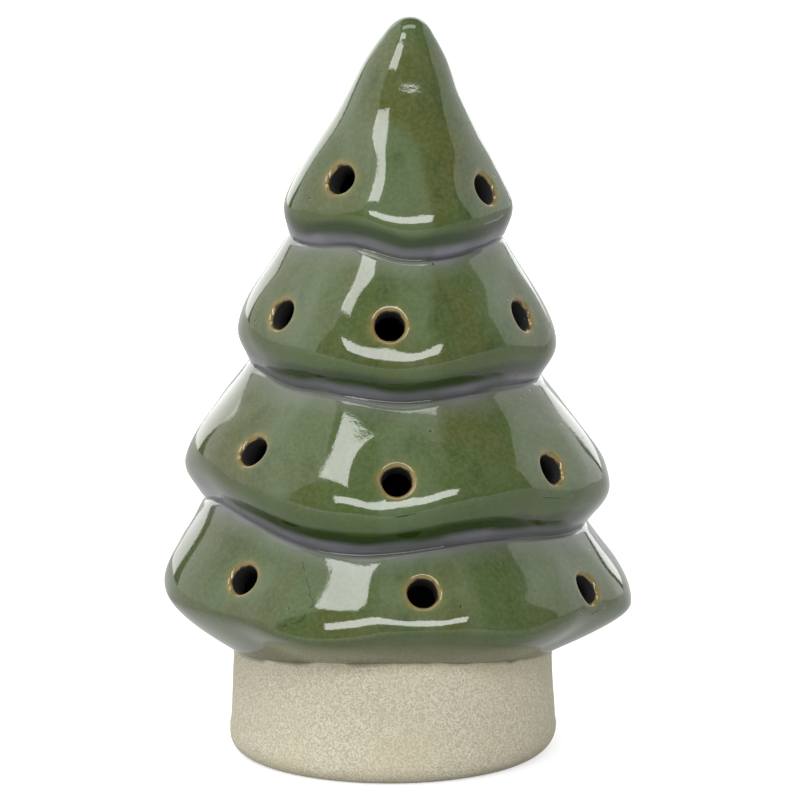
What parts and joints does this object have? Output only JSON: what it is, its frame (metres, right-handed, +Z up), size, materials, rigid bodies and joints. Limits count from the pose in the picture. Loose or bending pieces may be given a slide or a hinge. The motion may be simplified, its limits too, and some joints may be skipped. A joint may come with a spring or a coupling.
{
  "type": "ceramic christmas tree",
  "caption": "Glazed ceramic tree with wavy tiers and light holes on a bare stoneware foot, over a plug-in coin-cell lamp unit with a slide switch and a twist-off battery door.",
  "frame": {"origin": "middle of the foot ring's underside, level with the table", "axes": "+Z up the tree, the pictured side faces -Y, and the tip leans to +X"},
  "size_m": [0.0953, 0.0948, 0.1507],
  "materials": {
    "glazed_stoneware": "glossy sage-green glaze over stoneware",
    "bare_stoneware": "bare speckled grey-beige clay",
    "soft_ring": "soft matt",
    "white_plastic": "fine matt",
    "frosted_plastic": "frosted",
    "board": "satin",
    "lamp_resin": "clear gloss",
    "tinned_metal": "bright",
    "spring_metal": "bright",
    "cell_steel": "bright",
    "switch_metal": "satin",
    "black_plastic": "fine matt",
    "screw_steel": "bright"
  },
  "bodies": {
    "light_unit": {"plug_ring": "soft_ring", "bottom_plate": "white_plastic", "lamp_housing": "white_plastic", "light_cap": "frosted_plastic", "circuit_board": "board", "led_lamp": "lamp_resin", "led_leads": "tinned_metal", "negative_contact": "spring_metal", "positive_contact": "spring_metal", "coin_cell": "cell_steel", "switch_body": "switch_metal", "switch_pins": "tinned_metal", "housing_screws": "screw_steel"},
    "tree": {"stoneware_foot": "bare_stoneware", "lowest_tier": "glazed_stoneware", "second_tier": "glazed_stoneware", "third_tier": "glazed_stoneware", "top_tier": "glazed_stoneware"},
    "battery_door": {"battery_door": "white_plastic"},
    "switch": {"switch_slider": "black_plastic"}
  },
  "joints": [
    {"name": "tree_lift", "type": "slide", "parent": "light_unit", "child": "tree", "axis": [0, 0, 1], "range_m": [0, 0.035]},
    {"name": "door_twist", "type": "hinge", "parent": "light_unit", "child": "battery_door", "pos_m": [-0.003, 0, 0.0022], "axis": [0, 0, -1], "range_deg": [0, 60]},
    {"name": "switch_slide", "type": "slide", "parent": "light_unit", "child": "switch", "axis": [0, 1, 0], "range_m": [0, 0.002]}
  ]
}
